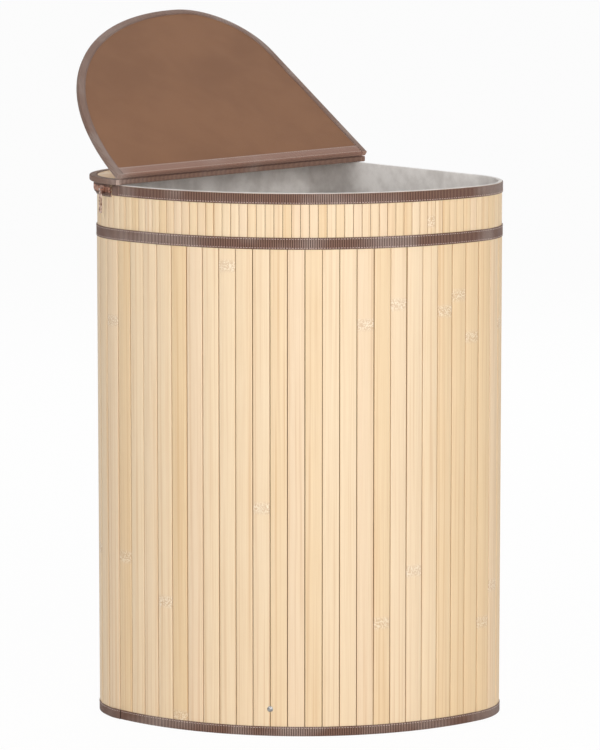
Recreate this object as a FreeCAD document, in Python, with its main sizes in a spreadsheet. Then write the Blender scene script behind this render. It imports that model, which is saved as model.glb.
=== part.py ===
import FreeCAD, Part
import math
import os

# Corner laundry hamper: a rounded quarter-disc wall of upright bamboo slats, bound with webbing,
# with a two-piece lid. The back strip of the lid is zipped to the left wall, the flap folds up.
#
# Plan frame used for drawing: the back corner of the hamper is at (0, 0), the left wall runs along
# +x and the right wall along +y. Every sub-part is placed from there into the hamper's own frame:
# +Z up, front towards -Y, origin on the floor at the middle of the footprint.

doc = FreeCAD.newDocument("CornerHamper")

SIZES = {
    # plan of the outer slat face
    "FrontRadius": 308.5,
    "CornerRadius": 86.0,
    "BackRadius": 14.0,
    # heights above the floor
    "RimHeight": 648.0,
    "CollarDepth": 65.5,
    "BoardHeight": 28.0,
    "RivetHeight": 32.5,
    # wall
    "SlatPitch": 20.6,
    "SlatWidth": 19.9,
    "SlatThick": 3.0,
    "CollarPitch": 10.3,
    "CollarWidth": 9.6,
    "CollarThick": 2.0,
    "BackingThick": 1.0,
    "LiningThick": 0.8,
    # webbing
    "WebThick": 1.0,
    "HemWidth": 11.5,
    "WaistWidth": 14.0,
    "RimWidth": 12.4,
    # base
    "BoardThick": 9.0,
    "BoardClear": 0.2,
    "RunnerWidth": 20.0,
    "RunnerSpacing": 125.0,
    "RunnerInset": 6.0,
    # rivets
    "RivetShank": 1.5,
    "RivetHead": 3.5,
    "RivetRise": 1.6,
    "RivetLength": 16.0,
    "RivetTurn": 5.75,
    # lid
    "LidGap": 0.4,
    "LidOverhang": 9.0,
    "LidSkin": 0.8,
    "LidEdge": 1.2,
    "LidBoard": 2.0,
    "LidSlat": 2.4,
    "LidSlatPitch": 20.6,
    "LidSlatGap": 0.8,
    "LidLining": 0.6,
    "LidBindWidth": 10.0,
    "FoldInset": 100.0,
    "FoldGap": 2.0,
    "RibbonWidth": 14.0,
    "TapeThick": 0.6,
    "TapeWidth": 11.0,
    "OpenAngle": 146.0,
    # zip: radial sizes are measured out from the slat face, heights down from the rim
    "ZipDrop": 6.0,
    "TeethInner": 2.1,
    "TeethOuter": 4.1,
    "TeethWidth": 2.5,
    "TeethGap": 1.4,
    "ZipTapeThick": 0.6,
    "ZipTapeFoot": 6.0,
    "ZipStopLength": 2.5,
    "ZipStopClear": 0.5,
    "ZipEndAngle": 4.0,
    "RimStartAngle": 2.0,
    "SliderAngle": 12.0,
    "SliderLength": 9.0,
    "SliderWidth": 9.0,
    "SliderPlate": 0.9,
    "SliderClear": 0.5,
    "PostThick": 0.8,
    "PostLength": 1.5,
    "BailRadius": 0.7,
    "BailSpan": 3.4,
    "BailLeg": 1.0,
    "BailReach": 2.1,
    "BailWall": 0.2,
    "EyeClear": 0.08,
    "EyeWall": 0.92,
    "EyeLength": 3.0,
    "PullLength": 28.0,
    "PullNeck": 3.0,
    "PullWidth": 5.5,
    "PullThick": 1.2,
    "PullRim": 1.5,
}

sheet = doc.addObject("Spreadsheet::Sheet", "Sizes")
for row, (alias, value) in enumerate(SIZES.items(), start=1):
    sheet.set("A%d" % row, alias)
    sheet.set("B%d" % row, str(value))
    sheet.setAlias("B%d" % row, alias)
doc.recompute()


def size(alias):
    return float(sheet.get(alias))


# how far a cutting solid stands out past the hamper on every side
MARGIN = "60"

# expressions shared by several sub-parts
WALL_INNER = "-Sizes.SlatThick - Sizes.BackingThick - Sizes.LiningThick"
LINING_OUTER = "-Sizes.SlatThick - Sizes.BackingThick"
# collar slats are set in so far that their edges just touch the webbing round a corner
COLLAR_SET = "Sizes.CornerRadius - sqrt(Sizes.CornerRadius ^ 2 - Sizes.CollarWidth ^ 2 / 4)"
RIM = "Sizes.RimHeight"
WAIST_BOTTOM = "(Sizes.RimHeight - Sizes.CollarDepth)"
WAIST_MIDDLE = WAIST_BOTTOM + " + Sizes.WaistWidth / 2"
LID_BOTTOM = "Sizes.RimHeight + Sizes.LiningThick + Sizes.LidGap"
LID_THICK = "(2 * Sizes.LidSkin + Sizes.LidLining + Sizes.LidBoard + Sizes.LidSlat)"
LID_LINING_Z = LID_BOTTOM + " + Sizes.LidSkin"
LID_BOARD_Z = LID_LINING_Z + " + Sizes.LidLining"
LID_SLAT_Z = LID_BOARD_Z + " + Sizes.LidBoard"
LID_TOP = LID_BOTTOM + " + " + LID_THICK
ZIP_Z = "Sizes.RimHeight - Sizes.ZipDrop"

# the hamper's own frame: the plan frame turned so that the back corner points to +Y
PLAN_DEPTH = math.sqrt(2) * size("CornerRadius") + size("FrontRadius")
BACK_TRIM = (math.sqrt(2) - 1) * size("BackRadius")
PLAN_TO_HAMPER = FreeCAD.Placement(
    FreeCAD.Vector(0, (PLAN_DEPTH + BACK_TRIM) / 2, 0),
    FreeCAD.Rotation(FreeCAD.Vector(0, 0, 1), -135),
)

nodes = []


def bind(obj, **expressions):
    for name, expression in expressions.items():
        obj.setExpression(name.replace("_", "."), expression)
    return obj


def at(obj, x, y, z):
    return bind(obj, Placement_Base_x=x, Placement_Base_y=y, Placement_Base_z=z)


def box(name, length, width, height, x, y, z):
    shape = doc.addObject("Part::Box", name)
    bind(shape, Length=length, Width=width, Height=height)
    return at(shape, x, y, z)


def cylinder(name, radius, height, x, y, z, angle="360", turn=0):
    shape = doc.addObject("Part::Cylinder", name)
    shape.Placement.Rotation = FreeCAD.Rotation(FreeCAD.Vector(0, 0, 1), turn)
    bind(shape, Radius=radius, Height=height, Angle=angle)
    return at(shape, x, y, z)


def fuse(name, *shapes):
    joined = doc.addObject("Part::MultiFuse", name)
    joined.Shapes = list(shapes)
    joined.Refine = True
    return joined


def cut(name, base, tool):
    result = doc.addObject("Part::Cut", name)
    result.Base = base
    result.Tool = tool
    return result


def common(name, first, second):
    result = doc.addObject("Part::Common", name)
    result.Base = first
    result.Tool = second
    return result


def compound(name, shapes):
    group = doc.addObject("Part::Compound", name)
    group.Links = shapes
    return group


def node(obj, label, placement=PLAN_TO_HAMPER):
    obj.Label = label
    obj.Placement = placement.multiply(obj.Placement)
    nodes.append(obj)
    return obj


# A prism over the hamper's plan, grown outwards by grow: two wall blocks, the quarter-disc front,
# the two round front corners and the small round back corner.
def plan_prism(name, grow, z, height):
    wall = "Sizes.FrontRadius - Sizes.BackRadius"
    deep = "Sizes.CornerRadius + (%s)" % grow
    edge = "-(%s)" % grow
    back = "Sizes.BackRadius"
    small = "Sizes.CornerRadius"
    large = "Sizes.FrontRadius"
    return fuse(
        name,
        box(name + "_left", wall, deep, height, back, edge, z),
        box(name + "_right", deep, wall, height, edge, back, z),
        cylinder(name + "_front", large + " + (%s)" % grow, height, small, small, z, "90"),
        cylinder(name + "_cornerA", deep, height, large, small, z, "90", -90),
        cylinder(name + "_cornerB", deep, height, small, large, z, "90", 90),
        cylinder(name + "_back", back + " + (%s)" % grow, height, back, back, z, "90", 180),
    )


def plan_ring(name, outer, inner, z, height):
    solid = plan_prism(name + "_outer", outer, z, height)
    hole = plan_prism(name + "_inner", inner, "%s - %s" % (z, MARGIN), "%s + 2 * %s" % (height, MARGIN))
    return cut(name, solid, hole)


# Point, heading and outward direction at length s along the wall, from the left end of the back
# corner round the front to the right end, on a curve grown outwards by grow.
def along_wall(s, grow):
    front = size("FrontRadius")
    corner = size("CornerRadius")
    back = size("BackRadius")
    straight = front - back
    corner_length = (corner + grow) * math.pi / 2
    front_length = (front + grow) * math.pi / 2
    arcs = [
        (front, corner, corner + grow, -90, corner_length),
        (corner, corner, front + grow, 0, front_length),
        (corner, front, corner + grow, 90, corner_length),
    ]
    if s <= straight:
        return FreeCAD.Vector(back + s, -grow, 0), 0.0
    s -= straight
    for x, y, radius, start, length in arcs:
        if s <= length:
            turn = start + math.degrees(s / radius)
            angle = math.radians(turn)
            point = FreeCAD.Vector(x + radius * math.cos(angle), y + radius * math.sin(angle), 0)
            return point, turn + 90
        s -= length
    return FreeCAD.Vector(-grow, front - s, 0), 270.0


def wall_length(grow):
    straight = size("FrontRadius") - size("BackRadius")
    corner_length = (size("CornerRadius") + grow) * math.pi / 2
    front_length = (size("FrontRadius") + grow) * math.pi / 2
    return 2 * straight + 2 * corner_length + front_length


# Upright slats stand side by side round the wall, flat against the backing.
def wall_slats(prefix, pitch, width, thick, bottom, height, set_in=0.0):
    grow = -size(thick) - set_in
    total = wall_length(grow)
    count = round(total / size(pitch))
    step = total / count
    straight = size("FrontRadius") - size("BackRadius")
    groups = {"left": [], "front": [], "right": []}
    for index in range(count):
        s = (index + 0.5) * step
        point, heading = along_wall(s, grow)
        slat = doc.addObject("Part::Box", "%s_%d" % (prefix, index))
        bind(slat, Length="Sizes." + width, Width="Sizes." + thick, Height=height)
        turn = FreeCAD.Rotation(FreeCAD.Vector(0, 0, 1), heading)
        corner = FreeCAD.Vector(-size(width) / 2, -size(thick), 0)
        slat.Placement = FreeCAD.Placement(point + turn.multVec(corner), turn)
        bind(slat, Placement_Base_z=bottom)
        side = "left" if s < straight else "right" if s > total - straight else "front"
        groups[side].append(slat)
    return groups


# Rivets: one beside the middle of the front and one in the middle of each straight wall.
# The front one sits over a gap between slats, on their edges, which stand out past the arc.
def rivet_places():
    middle = (size("BackRadius") + size("FrontRadius")) / 2
    corner = size("CornerRadius")
    height = size("RivetHeight")
    turn = math.radians(45 - size("RivetTurn"))
    outward = FreeCAD.Vector(math.cos(turn), math.sin(turn), 0)
    slat_edge = math.hypot(size("FrontRadius"), size("SlatWidth") / 2)
    front = FreeCAD.Vector(corner, corner, height) + outward * slat_edge
    return [
        (front, outward),
        (FreeCAD.Vector(middle, 0, height), FreeCAD.Vector(0, -1, 0)),
        (FreeCAD.Vector(0, middle, height), FreeCAD.Vector(-1, 0, 0)),
    ]


def rivet_shanks(prefix):
    shanks = []
    for index, (point, outward) in enumerate(rivet_places()):
        shank = doc.addObject("Part::Cylinder", "%s_%d" % (prefix, index))
        bind(shank, Radius="Sizes.RivetShank", Height="Sizes.RivetLength")
        inward = FreeCAD.Rotation(FreeCAD.Vector(0, 0, 1), outward.negative())
        shank.Placement = FreeCAD.Placement(point, inward)
        shanks.append(shank)
    return shanks


def rivet_heads():
    rise = size("RivetRise")
    radius = (size("RivetHead") ** 2 + rise ** 2) / (2 * rise)
    heads = []
    for index, (point, outward) in enumerate(rivet_places()):
        head = doc.addObject("Part::Sphere", "rivet_head_%d" % index)
        head.Radius = radius
        head.Angle1 = math.degrees(math.asin((radius - rise) / radius))
        head.Angle2 = 90
        facing = FreeCAD.Rotation(FreeCAD.Vector(0, 0, 1), outward)
        centre = point - outward.normalize() * (radius - rise)
        head.Placement = FreeCAD.Placement(centre, facing)
        heads.append(head)
    return heads


# ---- base: board on runners, its lining, rivets that pin the wall to the board
rivet_holes = compound("rivet_holes", rivet_shanks("rivet_hole"))

board_blank = plan_prism("board_blank", WALL_INNER + " - Sizes.BoardClear", "Sizes.BoardHeight",
                         "Sizes.BoardThick")
node(cut("base_board", board_blank, rivet_holes), "base_board")

runner_boxes = []
for index, place in enumerate((-1, 0, 1)):
    runner = doc.addObject("Part::Box", "runner_%d" % index)
    bind(runner, Length="2 * Sizes.FrontRadius", Width="Sizes.RunnerWidth", Height="Sizes.BoardHeight")
    low_corner = FreeCAD.Vector(-size("FrontRadius"),
                                place * size("RunnerSpacing") - size("RunnerWidth") / 2, 0)
    in_hamper = FreeCAD.Placement(low_corner, FreeCAD.Rotation())
    runner.Placement = PLAN_TO_HAMPER.inverse().multiply(in_hamper)
    runner_boxes.append(runner)
runner_room = plan_prism("runner_room", "-Sizes.RunnerInset", "0", "Sizes.BoardHeight")
node(common("base_runners", runner_room, compound("runner_bars", runner_boxes)), "base_runners")

node(plan_prism("base_lining", WALL_INNER + " - Sizes.BoardClear",
                "Sizes.BoardHeight + Sizes.BoardThick", "Sizes.LiningThick"), "base_lining")

rivets = [fuse("rivet_%d" % i, shank, head)
          for i, (shank, head) in enumerate(zip(rivet_shanks("rivet_shank"), rivet_heads()))]
node(compound("base_rivets", rivets), "base_rivets")

# ---- wall: slats on a cloth backing, finer collar slats on a bent hoop, lining turned over the rim
slat_height = WAIST_MIDDLE + " - Sizes.WebThick"
main = wall_slats("slat", "SlatPitch", "SlatWidth", "SlatThick", "Sizes.WebThick", slat_height)
for side, label in (("left", "left_wall_slats"), ("front", "front_slats"), ("right", "right_wall_slats")):
    node(cut(label, compound(label + "_blank", main[side]), rivet_holes), label)

collar_height = "%s - (%s)" % (RIM, WAIST_MIDDLE)
collar_set = size("CornerRadius") - math.sqrt(size("CornerRadius") ** 2 - size("CollarWidth") ** 2 / 4)
collar = wall_slats("collar", "CollarPitch", "CollarWidth", "CollarThick", WAIST_MIDDLE, collar_height,
                    collar_set)
for side, slats in collar.items():
    label = side + "_collar_slats"
    node(compound(label, slats), label)

corner_rod = plan_ring("corner_rod", "0", "-Sizes.SlatThick", "Sizes.WebThick", slat_height)
corner_room = box("corner_room", "Sizes.BackRadius + " + MARGIN, "Sizes.BackRadius + " + MARGIN, RIM,
                  "-" + MARGIN, "-" + MARGIN, "0")
node(common("back_corner_strip", corner_rod, corner_room), "back_corner_strip")
collar_rod = plan_ring("collar_rod", "0", "-Sizes.CollarThick", WAIST_MIDDLE, collar_height)
node(common("back_collar_strip", collar_rod, corner_room), "back_collar_strip")

backing = plan_ring("backing", "-Sizes.SlatThick", LINING_OUTER, "Sizes.WebThick",
                    WAIST_BOTTOM + " + Sizes.WaistWidth - Sizes.WebThick")
node(cut("wall_backing", backing, rivet_holes), "wall_backing")

hoop_bottom = WAIST_BOTTOM + " + Sizes.WaistWidth"
node(plan_ring("collar_hoop", "-Sizes.CollarThick - (%s)" % COLLAR_SET, LINING_OUTER, hoop_bottom,
               "(%s - (%s))" % (RIM, hoop_bottom)), "collar_hoop")

lining_wall = plan_ring("lining_wall", LINING_OUTER, WALL_INNER, "Sizes.BoardHeight",
                        "(%s + Sizes.LiningThick - Sizes.BoardHeight)" % RIM)
lining_turnover = plan_ring("lining_turnover", "0", LINING_OUTER + " - Sizes.LiningThick / 2", RIM,
                            "Sizes.LiningThick")
node(cut("wall_lining", fuse("lining", lining_wall, lining_turnover), rivet_holes), "wall_lining")

# ---- webbing: hem under the slats, waist band over the joint, rim binding where there is no zip;
# wide flat slats stand across a round corner, so the webbing gives way to their edges
def slat_marks(name):
    return compound(name, [slat for side in main.values() for slat in side])


hem_side = plan_ring("hem_side", "Sizes.WebThick", "0", "0", "Sizes.HemWidth")
hem_foot = plan_ring("hem_foot", "Sizes.WebThick / 2", LINING_OUTER, "0", "Sizes.WebThick")
hem = fuse("hem", hem_side, hem_foot)
node(cut("hem_binding", hem, slat_marks("hem_marks")), "hem_binding")

waist = plan_ring("waist", "Sizes.WebThick", "0", WAIST_BOTTOM, "Sizes.WaistWidth")
node(cut("waist_band", waist, slat_marks("waist_marks")), "waist_band")

REACH = "(Sizes.FrontRadius + Sizes.CornerRadius)"


def zip_room(name, end_angle, bottom, height):
    end = "Sizes.CornerRadius * (1 - sin(%s * 1deg)) + %s" % (end_angle, MARGIN)
    return box(name, REACH, end, height, "Sizes.BackRadius", "-" + MARGIN, bottom)


rim_bottom = "Sizes.RimHeight - Sizes.RimWidth"
rim_ring = plan_ring("rim_ring", "Sizes.WebThick", "0", rim_bottom, "Sizes.RimWidth")
node(cut("rim_binding", rim_ring, zip_room("rim_gap", "Sizes.RimStartAngle", "0", "2 * " + RIM)),
     "rim_binding")

# ---- zip that holds the back strip of the lid: tapes and teeth follow the left wall and corner
tape_inner = "Sizes.TeethInner + (Sizes.TeethOuter - Sizes.TeethInner - Sizes.ZipTapeThick) / 2"
tape_outer = tape_inner + " + Sizes.ZipTapeThick"
lower_teeth_z = "%s - Sizes.TeethGap / 2 - Sizes.TeethWidth" % ZIP_Z
upper_teeth_z = "%s + Sizes.TeethGap / 2" % ZIP_Z
upper_top = upper_teeth_z + " + Sizes.TeethWidth"
foot_top = "%s - Sizes.SliderWidth / 2 - Sizes.SliderClear" % ZIP_Z
foot_z = foot_top + " - Sizes.ZipTapeFoot"


def zip_run(name, ring):
    room = zip_room(name + "_room", "Sizes.ZipEndAngle", "0", "2 * " + RIM)
    return node(common(name, ring, room), name)


tape_foot = plan_ring("tape_foot", tape_outer, "0", foot_z, "Sizes.ZipTapeFoot")
tape_web = plan_ring("tape_web", tape_outer, tape_inner, foot_z,
                     "(%s - (%s))" % (lower_teeth_z, foot_z))
zip_run("zip_tape_lower", fuse("tape_lower", tape_foot, tape_web))
zip_run("zip_teeth_lower", plan_ring("teeth_lower", "Sizes.TeethOuter", "Sizes.TeethInner",
                                     lower_teeth_z, "Sizes.TeethWidth"))
zip_run("zip_teeth_upper", plan_ring("teeth_upper", "Sizes.TeethOuter", "Sizes.TeethInner",
                                     upper_teeth_z, "Sizes.TeethWidth"))
zip_run("zip_tape_upper", plan_ring("tape_upper", tape_outer, tape_inner, upper_top,
                                    "(%s - (%s))" % (LID_BOTTOM, upper_top)))

# ---- lid: both pieces have the same layers and are parted along the fold line
strip_room_width = "Sizes.FoldInset - Sizes.FoldGap / 2 + " + MARGIN
flap_room_y = "Sizes.FoldInset + Sizes.FoldGap / 2"


def lid_room(name, side, trim):
    if side == "strip":
        width = "%s - (%s)" % (strip_room_width, trim)
        return box(name, "2 * " + REACH, width, "2 * " + RIM, "-" + MARGIN, "-" + MARGIN, "0")
    start = "%s + (%s)" % (flap_room_y, trim)
    return box(name, "2 * " + REACH, "2 * " + REACH, "2 * " + RIM, "-" + MARGIN, start, "0")


def lid_layer(name, side, z, height):
    prism = plan_prism(name + "_prism", "Sizes.LidOverhang - Sizes.LidEdge", z, height)
    return common(name, prism, lid_room(name + "_room", side, "Sizes.LidSkin"))


# slats of the lid lie parallel to the fold
def lid_slats(side, low, high):
    count = round((high - low) / size("LidSlatPitch"))
    step = (high - low) / count
    bars = []
    for index in range(count):
        bar = doc.addObject("Part::Box", "%s_bar_%d" % (side, index))
        bar.Length = 4 * size("FrontRadius")
        bar.Width = step - size("LidSlatGap")
        bind(bar, Height="Sizes.LidSlat")
        y = low + index * step + size("LidSlatGap") / 2
        bar.Placement.Base = FreeCAD.Vector(-size("FrontRadius"), y, 0)
        bind(bar, Placement_Base_z=LID_SLAT_Z)
        bars.append(bar)
    layer = plan_prism(side + "_slat_layer", "Sizes.LidOverhang - Sizes.LidEdge", LID_SLAT_Z,
                       "Sizes.LidSlat")
    return common(side + "_slats", layer, compound(side + "_bars", bars))


# webbing folded over the lid's outer edge
def lid_binding(side):
    name = side + "_binding"
    blank = plan_prism(name + "_blank", "Sizes.LidOverhang", LID_BOTTOM, LID_THICK)
    core = plan_prism(name + "_core", "Sizes.LidOverhang - Sizes.LidEdge", LID_LINING_Z,
                      LID_THICK + " - 2 * Sizes.LidSkin")
    window = plan_prism(name + "_window", "Sizes.LidOverhang - Sizes.LidBindWidth",
                        "%s - %s" % (LID_BOTTOM, MARGIN), "%s + 2 * %s" % (LID_THICK, MARGIN))
    folded = cut(name + "_folded", blank, fuse(name + "_hollow", core, window))
    return common(name, folded, lid_room(name + "_room", side, "0"))


# ribbon folded over the fold edge, between the two ends of the binding
def fold_ribbon(side, y, inner_y):
    name = side + "_ribbon"
    window = plan_prism(name + "_window", "Sizes.LidOverhang - Sizes.LidBindWidth", LID_BOTTOM, LID_THICK)
    outside = box(name + "_outside", "2 * " + REACH, "Sizes.RibbonWidth", LID_THICK, "-" + MARGIN, y,
                  LID_BOTTOM)
    inside = box(name + "_inside", "3 * " + REACH, "Sizes.RibbonWidth",
                 LID_THICK + " - 2 * Sizes.LidSkin", "-2 * " + MARGIN, inner_y, LID_LINING_Z)
    return common(name, window, cut(name + "_channel", outside, inside))


overhang = size("LidOverhang") - size("LidEdge")
fold_half = size("FoldGap") / 2 + size("LidSkin")
flap_end = size("FrontRadius") + size("CornerRadius") + overhang
strip_low = -overhang
strip_high = size("FoldInset") - fold_half
flap_low = size("FoldInset") + fold_half

FOLD_Y = size("FoldInset")
FOLD_Z = (size("RimHeight") + size("LiningThick") + size("LidGap") + 2 * size("LidSkin")
          + size("LidLining") + size("LidBoard") + size("LidSlat"))
fold_point = FreeCAD.Vector(0, FOLD_Y, FOLD_Z)
opening = FreeCAD.Rotation(FreeCAD.Vector(1, 0, 0), size("OpenAngle"))
FLAP_OPEN = PLAN_TO_HAMPER.multiply(FreeCAD.Placement(FreeCAD.Vector(), opening, fold_point))

for side, low, high, place in (("strip", strip_low, strip_high, PLAN_TO_HAMPER),
                               ("flap", flap_low, flap_end, FLAP_OPEN)):
    node(lid_layer(side + "_board", side, LID_BOARD_Z, "Sizes.LidBoard"), side + "_board", place)
    node(lid_layer(side + "_lining", side, LID_LINING_Z, "Sizes.LidLining"), side + "_lining", place)
    node(lid_slats(side, low, high), side + "_slats", place)
    node(lid_binding(side), side + "_binding", place)

strip_edge = "Sizes.FoldInset - Sizes.FoldGap / 2"
node(fold_ribbon("strip", strip_edge + " - Sizes.RibbonWidth",
                 strip_edge + " - Sizes.RibbonWidth - Sizes.LidSkin"), "strip_ribbon")
node(fold_ribbon("flap", flap_room_y, flap_room_y + " + Sizes.LidSkin"), "flap_ribbon", FLAP_OPEN)

# cloth tape sewn on top of the strip, which the flap folds on
tape_window = plan_prism("hinge_window", "Sizes.LidOverhang - Sizes.LidBindWidth", LID_TOP,
                         "Sizes.TapeThick")
tape_bar = box("hinge_bar", "2 * " + REACH, "Sizes.TapeWidth", "Sizes.TapeThick", "-" + MARGIN,
               strip_edge + " - Sizes.TapeWidth - Sizes.TapeThick", LID_TOP)
node(common("hinge_tape", tape_window, tape_bar), "hinge_tape")

# ---- zip slider and pull, drawn on the round left corner: x runs out from the corner's axis,
# y runs along the zip towards the front
CORNER_AXIS = FreeCAD.Vector(size("FrontRadius"), size("CornerRadius"), 0)


def on_corner(angle):
    return PLAN_TO_HAMPER.multiply(
        FreeCAD.Placement(CORNER_AXIS, FreeCAD.Rotation(FreeCAD.Vector(0, 0, 1), -angle)))


SLIDER_PLACE = on_corner(size("SliderAngle"))
face = "Sizes.CornerRadius"
back_face = face + " + Sizes.TeethInner - Sizes.SliderClear - Sizes.SliderPlate"
front_face = face + " + Sizes.TeethOuter + Sizes.SliderClear"
slider_low = "-Sizes.SliderLength / 2"
slider_z = "%s - Sizes.SliderWidth / 2" % ZIP_Z
bail_x = front_face + " + Sizes.SliderPlate + Sizes.BailReach"

plate_back = box("plate_back", "Sizes.SliderPlate", "Sizes.SliderLength", "Sizes.SliderWidth",
                 back_face, slider_low, slider_z)
plate_front = box("plate_front", "Sizes.SliderPlate", "Sizes.SliderLength", "Sizes.SliderWidth",
                  front_face, slider_low, slider_z)
post = box("post", "Sizes.TeethOuter - Sizes.TeethInner + 2 * Sizes.SliderClear", "Sizes.PostLength",
           "Sizes.PostThick", face + " + Sizes.TeethInner - Sizes.SliderClear",
           "Sizes.SliderLength / 2 - Sizes.PostLength", "%s - Sizes.PostThick / 2" % ZIP_Z)
leg_length = "Sizes.BailReach + Sizes.BailRadius + Sizes.BailWall"
leg_height = "2 * (Sizes.BailRadius + Sizes.BailWall)"
leg_z = "%s - Sizes.BailRadius - Sizes.BailWall" % ZIP_Z
leg_x = front_face + " + Sizes.SliderPlate"
leg_near = box("leg_near", leg_length, "Sizes.BailLeg", leg_height, leg_x, "Sizes.BailSpan / 2", leg_z)
leg_far = box("leg_far", leg_length, "Sizes.BailLeg", leg_height, leg_x,
              "-Sizes.BailSpan / 2 - Sizes.BailLeg", leg_z)


def cross_rod(name, radius, length):
    rod = doc.addObject("Part::Cylinder", name)
    rod.Placement.Rotation = FreeCAD.Rotation(FreeCAD.Vector(1, 0, 0), -90)
    bind(rod, Radius=radius, Height=length)
    return at(rod, bail_x, "-(%s) / 2" % length, ZIP_Z)


bail = cross_rod("bail", "Sizes.BailRadius", "Sizes.BailSpan + Sizes.BailLeg")
node(fuse("zip_slider", plate_back, plate_front, post, leg_near, leg_far, bail), "zip_slider",
     SLIDER_PLACE)

eye_outer = "Sizes.BailRadius + Sizes.EyeClear + Sizes.EyeWall"
eye = cross_rod("eye", eye_outer, "Sizes.EyeLength")
neck = box("neck", "Sizes.PullThick", "Sizes.EyeLength", "Sizes.PullNeck + Sizes.PullRim",
           bail_x + " - Sizes.PullThick / 2", "-Sizes.EyeLength / 2",
           "%s - Sizes.PullNeck - Sizes.PullRim" % ZIP_Z)
loop_z = "%s - Sizes.PullLength" % ZIP_Z
loop_height = "Sizes.PullLength - Sizes.PullNeck"
loop_blank = box("loop_blank", "Sizes.PullThick", "Sizes.PullWidth", loop_height,
                 bail_x + " - Sizes.PullThick / 2", "-Sizes.PullWidth / 2", loop_z)
loop_slot = box("loop_slot", "2 * Sizes.PullThick", "Sizes.PullWidth - 2 * Sizes.PullRim",
                loop_height + " - 2 * Sizes.PullRim", bail_x + " - Sizes.PullThick",
                "-Sizes.PullWidth / 2 + Sizes.PullRim", "%s + Sizes.PullRim" % loop_z)
loop = cut("loop", loop_blank, loop_slot)
bore = cross_rod("bore", "Sizes.BailRadius + Sizes.EyeClear", "2 * Sizes.EyeLength")
node(cut("zip_pull", fuse("pull_solid", eye, neck, loop), bore), "zip_pull", SLIDER_PLACE)

# small metal stops at the front end of the two rows of teeth
stop_place = on_corner(size("ZipEndAngle"))
stop_length = "Sizes.TeethOuter - Sizes.TeethInner"
stops = [box("stop_%d" % i, stop_length, "Sizes.ZipStopLength", "Sizes.TeethWidth",
             face + " + Sizes.TeethInner", "Sizes.ZipStopClear", z)
         for i, z in enumerate((lower_teeth_z, upper_teeth_z))]
node(compound("zip_stops", stops), "zip_stops", stop_place)

doc.recompute()

for obj in doc.Objects:
    if "Invalid" in obj.State or "Error" in obj.State:
        raise RuntimeError("%s failed: %s" % (obj.Name, obj.State))
for obj in nodes:
    if obj.Shape.isNull() or not obj.Shape.isValid() or not obj.Shape.Solids:
        raise RuntimeError("%s has no valid solid" % obj.Label)

os.makedirs("parts", exist_ok=True)
for obj in nodes:
    obj.Shape.exportStep("parts/%s.step" % obj.Label)
    box_mm = obj.Shape.BoundBox
    print("%-20s %3d solids %10.0f mm3  x %.1f..%.1f  y %.1f..%.1f  z %.1f..%.1f" % (
        obj.Label, len(obj.Shape.Solids), obj.Shape.Volume, box_mm.XMin, box_mm.XMax,
        box_mm.YMin, box_mm.YMax, box_mm.ZMin, box_mm.ZMax))
fold = PLAN_TO_HAMPER.multVec(FreeCAD.Vector(size("FrontRadius") / 2, FOLD_Y, FOLD_Z))
print("fold point", fold, "zip corner axis", PLAN_TO_HAMPER.multVec(CORNER_AXIS))
print("pull pivot", SLIDER_PLACE.multVec(FreeCAD.Vector(
    size("CornerRadius") + size("TeethOuter") + size("SliderClear") + size("SliderPlate")
    + size("BailReach"), 0, size("RimHeight") - size("ZipDrop"))))
print("pull axis", SLIDER_PLACE.Rotation.multVec(FreeCAD.Vector(0, 1, 0)))
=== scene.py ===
import math
import random

import bpy
import bmesh
from mathutils import Matrix, Vector, noise


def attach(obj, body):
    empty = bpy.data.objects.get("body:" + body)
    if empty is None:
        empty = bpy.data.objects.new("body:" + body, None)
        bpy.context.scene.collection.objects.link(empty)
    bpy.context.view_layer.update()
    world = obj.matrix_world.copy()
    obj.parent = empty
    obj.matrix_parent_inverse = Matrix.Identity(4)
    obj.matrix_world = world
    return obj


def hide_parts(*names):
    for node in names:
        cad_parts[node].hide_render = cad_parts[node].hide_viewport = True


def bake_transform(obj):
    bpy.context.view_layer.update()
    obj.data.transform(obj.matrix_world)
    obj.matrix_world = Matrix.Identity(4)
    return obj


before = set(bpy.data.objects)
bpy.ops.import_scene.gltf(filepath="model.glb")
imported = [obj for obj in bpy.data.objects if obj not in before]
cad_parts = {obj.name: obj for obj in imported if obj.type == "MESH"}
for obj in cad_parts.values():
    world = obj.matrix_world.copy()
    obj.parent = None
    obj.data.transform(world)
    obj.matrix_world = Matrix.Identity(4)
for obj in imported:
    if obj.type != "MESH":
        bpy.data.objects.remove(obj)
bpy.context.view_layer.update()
scene = bpy.context.scene
print("frame loaded,", len(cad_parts), "CAD nodes")

# the hamper's plan and heights, as in the CAD model; all lengths are in metres, angles in degrees
hamper = {
    "frontRadius": 0.3085, "cornerRadius": 0.086, "backRadius": 0.014,
    "liningInset": 0.0040, "liningThick": 0.0008, "floorHeight": 0.0370,
    "lidBottom": 0.6492, "lidTop": 0.6558, "lidOverhang": 0.009,
    "foldInset": 0.100, "foldGap": 0.002, "openAngle": 146.0,
}
planDepth = math.sqrt(2) * hamper["cornerRadius"] + hamper["frontRadius"]
backTrim = (math.sqrt(2) - 1) * hamper["backRadius"]
# plan frame: back corner at the origin, left wall along +x, right wall along +y
planTurn = -135
planToHamper = (Matrix.Translation((0, (planDepth + backTrim) / 2, 0))
                @ Matrix.Rotation(math.radians(planTurn), 4, "Z"))
foldPoint = Vector((0, hamper["foldInset"], hamper["lidTop"]))
# takes the flap as drawn closed to its open place, about the fold line
flapOpen = (planToHamper @ Matrix.Translation(foldPoint)
            @ Matrix.Rotation(math.radians(hamper["openAngle"]), 4, "X")
            @ Matrix.Translation(-foldPoint))


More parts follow.
